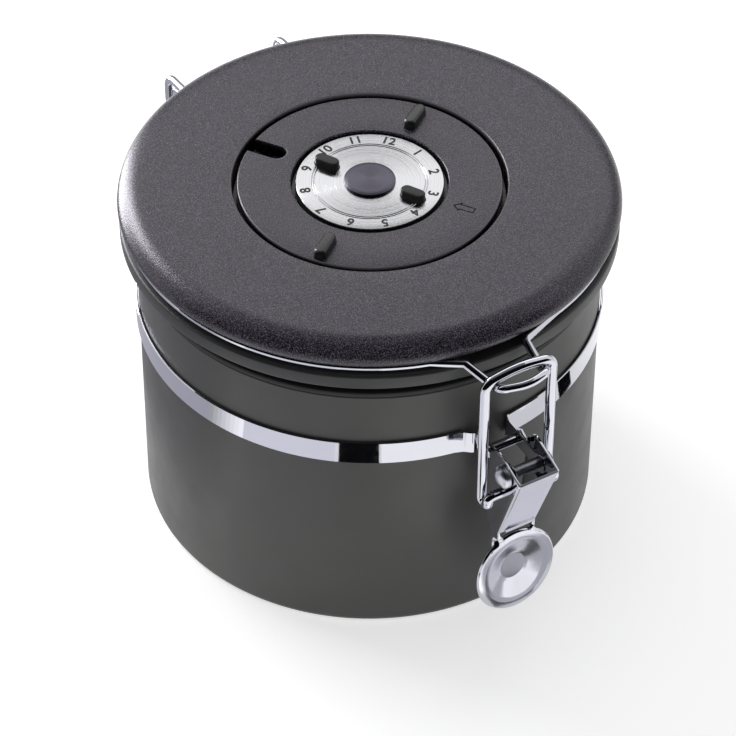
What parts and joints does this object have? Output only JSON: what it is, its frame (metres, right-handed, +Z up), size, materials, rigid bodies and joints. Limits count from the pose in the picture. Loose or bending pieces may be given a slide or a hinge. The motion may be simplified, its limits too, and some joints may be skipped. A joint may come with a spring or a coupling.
{
  "type": "coffee canister with valve",
  "caption": "Round steel coffee canister with an over-centre wire clamp, hinged lid, two date dials and a one-way gas valve.",
  "frame": {"origin": "centre of the flat underside, on the axis of the shell", "axes": "+Z up along the shell's axis, -Y towards the clamp, +Y towards the hinge, X along the hinge line"},
  "size_m": [0.1326, 0.1646, 0.1055],
  "materials": {
    "painted_steel": "satin grey paint on steel",
    "bright_steel": "polished",
    "brushed_metal": "radially brushed",
    "grained_plastic": "fine spark-eroded grain",
    "dark_plastic": "smooth satin",
    "black_plastic": "smooth",
    "seal_rubber": "matt",
    "valve_rubber": "translucent silicone, matt",
    "filter_felt": "felt",
    "scale_film": "printed film"
  },
  "bodies": {
    "base": {"canister_body": "painted_steel", "clamp_strap": "bright_steel", "strap_screw": "bright_steel", "strap_nut": "bright_steel", "lever_rivet": "bright_steel", "hinge_bracket": "bright_steel", "bracket_rivet_1": "bright_steel", "bracket_rivet_2": "bright_steel"},
    "lid": {"lid_base": "dark_plastic", "lid_gasket": "seal_rubber", "lid_cap": "grained_plastic", "lid_wire": "bright_steel", "valve_housing": "black_plastic", "valve_filter": "filter_felt", "valve_cover": "black_plastic", "date_scale": "scale_film"},
    "day_dial": {"day_ring": "grained_plastic"},
    "month_dial": {"month_carrier": "dark_plastic", "month_face": "brushed_metal", "dial_badge": "dark_plastic", "dial_washer": "brushed_metal", "dial_screw": "brushed_metal"},
    "valve": {"valve_disc": "valve_rubber"},
    "lever": {"clamp_lever": "bright_steel"},
    "bail": {"wire_bail": "bright_steel"}
  },
  "joints": [
    {"name": "lid_hinge", "type": "hinge", "parent": "base", "child": "lid", "pos_m": [0, 0.0762, 0.084], "axis": [-1, 0, 0], "range_deg": [0, 100]},
    {"name": "lever_swing", "type": "hinge", "parent": "base", "child": "lever", "pos_m": [0, -0.0787, 0.06435], "axis": [-1, 0, 0], "range_deg": [0, 140]},
    {"name": "bail_swing", "type": "hinge", "parent": "lever", "child": "bail", "pos_m": [0, -0.0775, 0.0575], "axis": [1, 0, 0], "range_deg": [0, 160]},
    {"name": "day_turn", "type": "hinge", "parent": "lid", "child": "day_dial", "pos_m": [0, 0, 0.1], "axis": [0, 0, 1], "continuous": true},
    {"name": "month_turn", "type": "hinge", "parent": "lid", "child": "month_dial", "pos_m": [0, 0, 0.1], "axis": [0, 0, 1], "continuous": true},
    {"name": "valve_lift", "type": "slide", "parent": "lid", "child": "valve", "axis": [0, 0, 1], "range_m": [0, 0.0007]}
  ],
  "couplings": [
    {"joint": "lever_swing", "follows": "lid_hinge", "ratio": 1.4},
    {"joint": "bail_swing", "follows": "lid_hinge", "ratio": 1.6}
  ]
}
